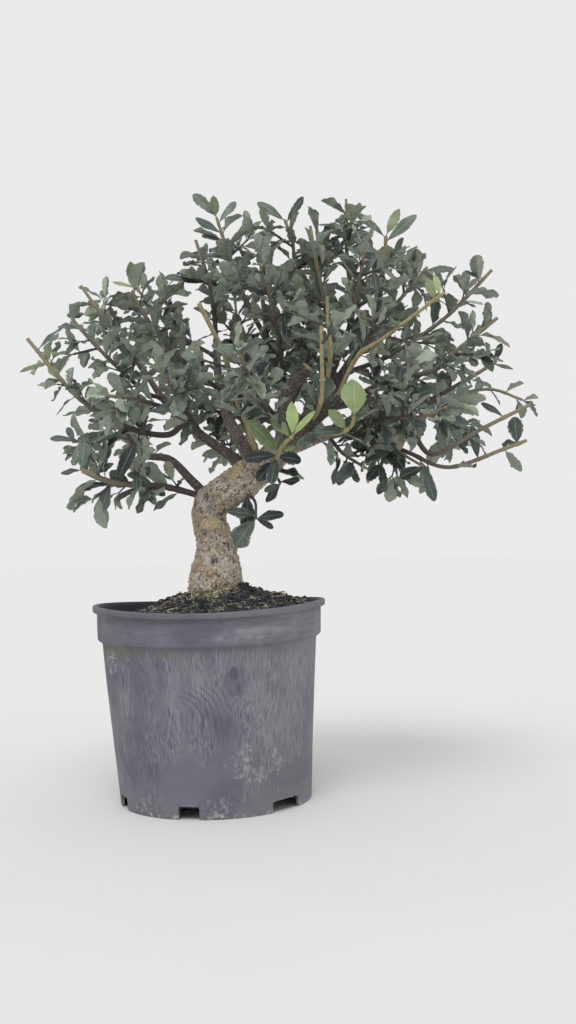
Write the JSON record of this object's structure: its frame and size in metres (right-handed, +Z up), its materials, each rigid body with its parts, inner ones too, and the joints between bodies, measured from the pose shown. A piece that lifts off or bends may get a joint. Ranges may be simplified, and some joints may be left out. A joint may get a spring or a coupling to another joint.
{
  "type": "cork oak bonsai",
  "caption": "Cork oak bonsai with a furrowed trunk leaning to one side and a wide leafy crown, growing in a round plastic nursery pot.",
  "frame": {"origin": "centre of the pot's foot, on the surface that it stands on", "axes": "+Z up, +X the side that the trunk leans to and the crown reaches furthest, -Y the side that is usually looked at"},
  "size_m": [0.5036, 0.3447, 0.581],
  "materials": {
    "pot": "dusty grey moulded plastic, scuffed, with chalky salt marks near the foot",
    "soil": "dark crumbly potting soil with straw-coloured root fibres",
    "bark": "rough furrowed cork bark, grey-brown with straw flakes, smoother and darker on the limbs",
    "leaf": "leathery dark grey-green leaves, waxy above and felted grey below, on brown twigs",
    "young_leaf": "fresh bright green leaves on pale green twigs"
  },
  "bodies": {
    "root": {"pot": "pot", "soil": "soil", "trunk_and_limbs": "bark", "shoot_left_1": "leaf", "shoot_left_2": "leaf", "shoot_left_3": "leaf", "shoot_left_4": "leaf", "shoot_left_5": "leaf", "shoot_left_6": "leaf", "shoot_left_7": "leaf", "shoot_left_8": "leaf", "shoot_left_9": "leaf", "shoot_top_1": "leaf", "shoot_top_2": "leaf", "shoot_top_3": "leaf", "shoot_top_4": "leaf", "shoot_top_5": "leaf", "shoot_top_6": "leaf", "shoot_top_7": "leaf", "shoot_front_1": "leaf", "shoot_front_2": "leaf", "shoot_front_3": "leaf", "shoot_front_4": "young_leaf", "shoot_front_5": "young_leaf", "shoot_front_6": "leaf", "shoot_front_7": "leaf", "shoot_front_8": "leaf", "shoot_front_9": "leaf", "shoot_front_10": "leaf", "shoot_front_11": "leaf", "shoot_front_12": "leaf", "shoot_right_1": "leaf", "shoot_right_2": "leaf", "shoot_right_3": "leaf", "shoot_right_4": "leaf", "shoot_right_5": "leaf", "shoot_right_6": "leaf", "shoot_right_7": "leaf", "shoot_low_1": "leaf", "shoot_low_2": "leaf", "shoot_low_3": "leaf", "shoot_low_4": "leaf", "shoot_low_5": "leaf", "shoot_back_1": "leaf", "shoot_back_2": "leaf", "shoot_back_3": "leaf", "shoot_back_4": "leaf", "shoot_back_5": "leaf", "shoot_back_6": "leaf", "shoot_back_7": "leaf", "shoot_back_8": "leaf", "shoot_back_9": "leaf", "shoot_back_10": "leaf", "shoot_back_11": "leaf", "shoot_back_12": "leaf", "shoot_back_13": "leaf"}
  },
  "joints": []
}
